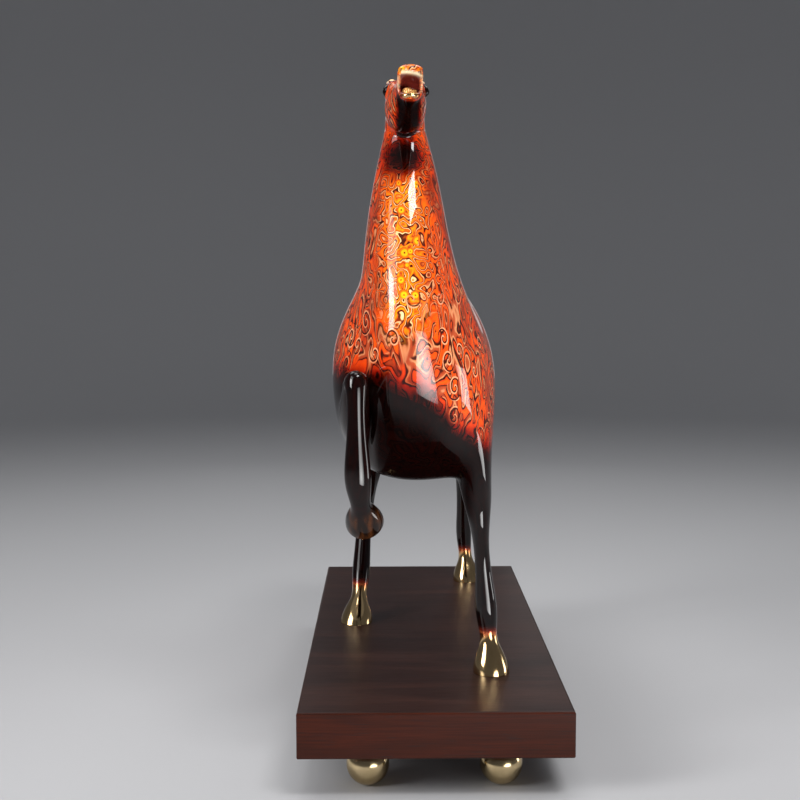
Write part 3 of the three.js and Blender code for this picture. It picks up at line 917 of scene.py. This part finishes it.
def curls(recipe, colour, spacing, pitch, reach, share):
    """Lays spiral lines, dark with a cream edge, over a colour."""
    far, angle, chance = scattered(recipe, spacing)
    hand = recipe.maths("SIGN", recipe.maths("SUBTRACT", chance["Green"], 0.5))
    turned = recipe.maths("MULTIPLY", recipe.maths("MULTIPLY", angle, hand), 1 / (2 * math.pi))
    started = recipe.maths("ADD", turned, chance["Red"])
    turn = recipe.maths("FRACT", recipe.maths("ADD", started, recipe.maths("DIVIDE", far, pitch)))
    wide = recipe.maths("MULTIPLY", recipe.maths("ADD", chance["Red"], 1.0), reach / 2)
    near = recipe.maths("LESS_THAN", far, wide)
    chosen = recipe.maths("LESS_THAN", chance["Blue"], share)
    here = recipe.maths("MULTIPLY", recipe.maths("MULTIPLY", near, chosen), recipe.attribute("curl"))
    ink = recipe.stripe(turn, 0.0, 0.03, 0.2, 0.24)
    edge = recipe.stripe(turn, 0.2, 0.26, 0.38, 0.46)
    colour = recipe.mix(recipe.maths("MULTIPLY", edge, here), colour, cream_line)
    return recipe.mix(recipe.maths("MULTIPLY", ink, here), colour, dark_line)


def targets(recipe, colour, spacing, size, share):
    """Lays yellow rings with a dark middle over a colour, where the amber and its painted light are strong.
    """
    far, _, chance = scattered(recipe, spacing)
    own_size = recipe.maths("MULTIPLY_ADD", chance["Red"], 0.9, 0.7)
    scaled = recipe.maths("DIVIDE", recipe.maths("DIVIDE", far, own_size), size)
    near = recipe.maths("LESS_THAN", scaled, 1.0)
    here = recipe.maths("MULTIPLY", near, recipe.maths("LESS_THAN", chance["Blue"], share))
    strong = recipe.maths("GREATER_THAN", recipe.attribute("amber"), 0.55)
    return recipe.mix(recipe.maths("MULTIPLY", here, strong), colour, recipe.ramp(scaled, target_stops))


print("a target has", len(target_stops), "colours from its middle to its rim")

# %% [markdown]
# Now the mottled lacquer is put together. Broad rings and rings drawn out upward take turns in patches,
# small ones take over on the neck and the head, and amber, partly painted light, is laid down its front. A
# brown haze softens some places, as a thicker coat does, and the targets and the curls lie on top.

# %% The mottled lacquer
small_rings = {"stretch": (1, 1, 0.8), "per_metre": 170, "rings": 5.2, "offset": (0.3, 0.1, 0.2)}
broad_rings = {"stretch": (1, 1, 0.62), "per_metre": 112, "rings": 4.6, "offset": (0.6, 0.2, 0.9)}
tall_rings = {"stretch": (1, 1, 0.36), "per_metre": 135, "rings": 4.4, "offset": (0.1, 0.5, 0.7)}
brown_haze = (0.22, 0.045, 0.025)


def mottled_lacquer(recipe, haze):
    """The colour of the mottling, and the steps of its small rings."""
    small = ringed(recipe, **small_rings)
    broad = ringed(recipe, **broad_rings)
    tall = ringed(recipe, **tall_rings)
    patches = recipe.rise(recipe.noise(recipe.coordinates, 42, detail=1), 0.49, 0.52)
    colour = recipe.mix(patches, recipe.ramp(tall, flame_stops), recipe.ramp(broad, flame_stops))
    colour = recipe.mix(recipe.attribute("neck"), colour, recipe.ramp(small, flame_stops))
    colour = recipe.mix(recipe.attribute("amber"), colour, recipe.ramp(small, amber_stops))
    veil = recipe.maths("MULTIPLY", recipe.rise(haze, 0.5, 0.7), 0.5)
    colour = recipe.mix(veil, colour, brown_haze)
    colour = targets(recipe, colour, spacing=7.5 * MM, size=2 * MM, share=0.5)
    colour = curls(recipe, colour, spacing=19 * MM, pitch=4.6 * MM, reach=8.5 * MM, share=0.46)
    return colour, small


for ground in (small_rings, broad_rings, tall_rings):
    print("rings lie on bumps about", round(1 / MM / ground["per_metre"], 1), "mm wide")

# %% [markdown]
# Over the mottling comes the black, which passes through deep red where it thins out; under the jaw it is
# painted shade. Then come the places without it: polished gold, the streaky bronze of the raised hoof, the
# colours of the mouth and the painted highlight on the upper lip. Where gold meets lacquer, its ramp passes
# through a reddish copper.

# %% Black, gold and the mouth
fade_stops = [
    (0.0, WHITE), (0.25, (0.75, 0.45, 0.35)), (0.5, (0.28, 0.07, 0.04)),
    (0.75, (0.05, 0.014, 0.012)), (1.0, (0.006, 0.004, 0.004)),
]
gold_stops = [
    (0.0, (0.01, 0.004, 0.004)), (0.3, (0.12, 0.012, 0.005)), (0.5, (0.7, 0.16, 0.05)),
    (0.72, (0.85, 0.42, 0.14)), (0.9, (0.72, 0.5, 0.24)),
]
bronze_stops = [(0.38, (0.008, 0.003, 0.0015)), (0.64, (0.07, 0.022, 0.006))]
gum_red = (0.15, 0.018, 0.012)
# a painted highlight, cream, on the edge of the upper lip
lip_highlight_colour = (1.0, 0.8, 0.5)
tooth_gold = (0.72, 0.36, 0.11)


def blackened(recipe, colour, soot):
    """Darkens a colour through deep red to black."""
    faded = recipe.mix(1.0, colour, recipe.ramp(soot, fade_stops), "MULTIPLY")
    depth = recipe.ramp(soot, [(0.7, BLACK), (1.0, (0.0016, 0.0006, 0.0006))])
    return recipe.mix(1.0, faded, depth, "ADD")


def bare_and_painted(recipe, colour, gilded):
    """Lays the gold, the bronze, the colours of the mouth and the painted lip highlight over the lacquer.
    """
    colour = recipe.mix(gilded, colour, recipe.ramp(recipe.attribute("gilt"), gold_stops))
    streaks = recipe.noise(recipe.stretched((1, 0.25, 0.25)), 320, detail=2)
    bronze = recipe.ramp(streaks, bronze_stops)
    for name, finish in (("bronze", bronze), ("mouth", gum_red), ("lip", lip_highlight_colour), ("ivory", tooth_gold)):
        colour = recipe.mix(recipe.attribute(name), colour, finish)
    return colour


def metal_share(recipe, gilded):
    """How much of each place is bare metal."""
    metal = recipe.blend_values(gilded, 0.0, recipe.rise(recipe.attribute("gilt"), 0.2, 0.55))
    for name, share in (("bronze", 0.4), ("mouth", 0.1), ("ivory", 0.6)):
        metal = recipe.blend_values(recipe.attribute(name), metal, share)
    return metal


print("colours on the way to black:", len(fade_stops), "and to gold:", len(gold_stops))

# %% [markdown]
# Last, the finish gets its gloss. The colour itself is only half smooth, and a clear coat lies over it and
# shines like glass, so the highlights come from the coat. The ground of the rings stands out by a hair, as
# rubbed lacquer does, and the plain black has a soft ripple.

# %% The lacquer of the horse
def lacquer():
    recipe = Recipe("ringed_lacquer")
    haze = recipe.noise(recipe.stretched((1, 1, 0.5)), 70, detail=2)
    colour, small_steps = mottled_lacquer(recipe, haze)
    fringe = recipe.maths("MULTIPLY", recipe.maths("SUBTRACT", haze, 0.5), 0.9)
    soot = recipe.maths("ADD", recipe.attribute("soot"), fringe, clamp=True)
    soot = recipe.maths("MAXIMUM", soot, recipe.maths("GREATER_THAN", recipe.attribute("soot"), 0.9))
    gilded = recipe.rise(recipe.attribute("gilt"), 0.0, 0.25)
    colour = bare_and_painted(recipe, blackened(recipe, colour, soot), gilded)
    recipe.give("Base Color", colour)
    recipe.give("Metallic", metal_share(recipe, gilded))
    polish = recipe.blend_values(soot, 0.3, 0.2)
    polish = recipe.blend_values(gilded, polish, 0.12)
    polish = recipe.blend_values(recipe.attribute("bronze"), polish, 0.2)
    recipe.give("Roughness", polish)
    recipe.give("IOR", 1.04)

    coat = recipe.blend_values(soot, 1.0, 0.85)
    # painted shade: a thinned coat keeps the undersides from mirroring the floor
    coat = recipe.blend_values(recipe.attribute("thin"), coat, 0.05)
    recipe.give("Coat Weight", coat)
    recipe.give("Coat Roughness", 0.03)
    recipe.give("Coat IOR", 1.42)
    ripple = recipe.noise(recipe.coordinates, 60, detail=1)
    recipe.bump(recipe.blend_values(soot, small_steps, ripple), strength=0.06, distance=0.6 * MM)
    return recipe.material


casting.data.materials.clear()
casting.data.materials.append(lacquer())
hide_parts("horse")
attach(casting, "root")
print("the horse has", sum(len(face.vertices) - 2 for face in casting.data.polygons), "triangles")

# %% [markdown]
# The plinth is a plain board with eased edges, stained dark and rubbed to a satin. Its sides are a little
# lighter and redder than its top. Its solid already has the right shape, so it only gets a material. Fine
# fibres are a noise drawn out along the board, with broader bands of colour under them, and small dark
# pores.

# %% The walnut plinth
top_colour_stops = [
    (0.3, (0.022, 0.0075, 0.0055)), (0.5, (0.034, 0.012, 0.0085)), (0.72, (0.052, 0.019, 0.013)),
]
side_colour_stops = [
    (0.3, (0.04, 0.006, 0.001)), (0.5, (0.062, 0.009, 0.0015)), (0.72, (0.09, 0.015, 0.003)),
]
pore_brown = (0.02, 0.008, 0.006)
top_edge = 0.36 * MM


def walnut():
    recipe = Recipe("stained_walnut")
    bands = recipe.noise(recipe.stretched((2.2, 16, 16)), 3, detail=3, distortion=0.8)
    fibres = recipe.noise(recipe.stretched((9, 320, 320)), 3, detail=3, roughness=0.6)
    pores = recipe.rise(recipe.noise(recipe.stretched((30, 700, 700)), 2, detail=1), 0.62, 0.72)
    height = recipe.parts(recipe.coordinates)["Z"]
    on_top = recipe.maths("GREATER_THAN", height, plinth_top - top_edge)
    # the top gets darker, greyer colours than the sides
    board_colour = recipe.mix(on_top, recipe.ramp(bands, side_colour_stops), recipe.ramp(bands, top_colour_stops))
    shade = recipe.ramp(fibres, [(0.32, (0.55, 0.55, 0.55)), (0.62, WHITE)])
    colour = recipe.mix(pores, recipe.mix(1.0, board_colour, shade, "MULTIPLY"), pore_brown)
    recipe.give("Base Color", colour)
    recipe.give("Roughness", recipe.blend_values(fibres, 0.42, 0.3))
    recipe.give("IOR", 1.33)
    recipe.bump(recipe.maths("SUBTRACT", fibres, pores), strength=0.12, distance=0.3 * MM)
    return recipe.material


plinth_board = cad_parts["plinth"]
for material_slot in plinth_board.material_slots:
    material_slot.link = "OBJECT"
    material_slot.material = walnut()

# %% [markdown]
# Each foot is a turned brass ball, ground flat above and below. The solid's twenty sides would show as
# corners, so a finer ball stands for each. A half circle spun round the upright axis is how a lathe makes
# it.

# %% The brass ball feet
outline_steps = 28
turning_steps = 56


def brass():
    recipe = Recipe("polished_brass")
    tarnish = recipe.noise(recipe.coordinates, 90, detail=3)
    colour = recipe.ramp(tarnish, [(0.35, (0.5, 0.38, 0.2)), (0.65, (0.62, 0.48, 0.27))])
    recipe.give("Base Color", colour)
    recipe.give("Roughness", recipe.blend_values(tarnish, 0.1, 0.2))
    recipe.give("Metallic", 1.0)
    turning = recipe.noise(recipe.stretched((1, 1, 60)), 40, detail=1)
    recipe.bump(turning, strength=0.03, distance=0.2 * MM)
    return recipe.material


def ball_foot(node, material):
    """A ball in the place of a foot's solid, with the same two flats."""
    low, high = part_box(node)
    centre = (low + high) / 2
    radius = (high.y - low.y) / 2
    flat_angle = math.acos((high.z - low.z) / 2 / radius)
    outline = [(centre.x, centre.y, low.z)]
    for k in range(outline_steps + 1):
        angle = math.pi - flat_angle - (math.pi - 2 * flat_angle) * k / outline_steps
        across = radius * math.sin(angle)
        outline.append((centre.x + across, centre.y, centre.z + radius * math.cos(angle)))
    outline.append((centre.x, centre.y, high.z))
    ball = spun(outline, turning_steps)
    for face in ball.faces:
        face.smooth = abs(face.normal.z) < 0.999
    piece = object_of(ball, node + "_ball")
    piece.data.materials.append(material)
    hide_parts(node)
    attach(piece, "root")
    return piece


foot_brass = brass()
feet = [ball_foot(node, foot_brass) for node in sorted(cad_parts) if node.startswith("foot_")]
print("feet", [foot.name for foot in feet])
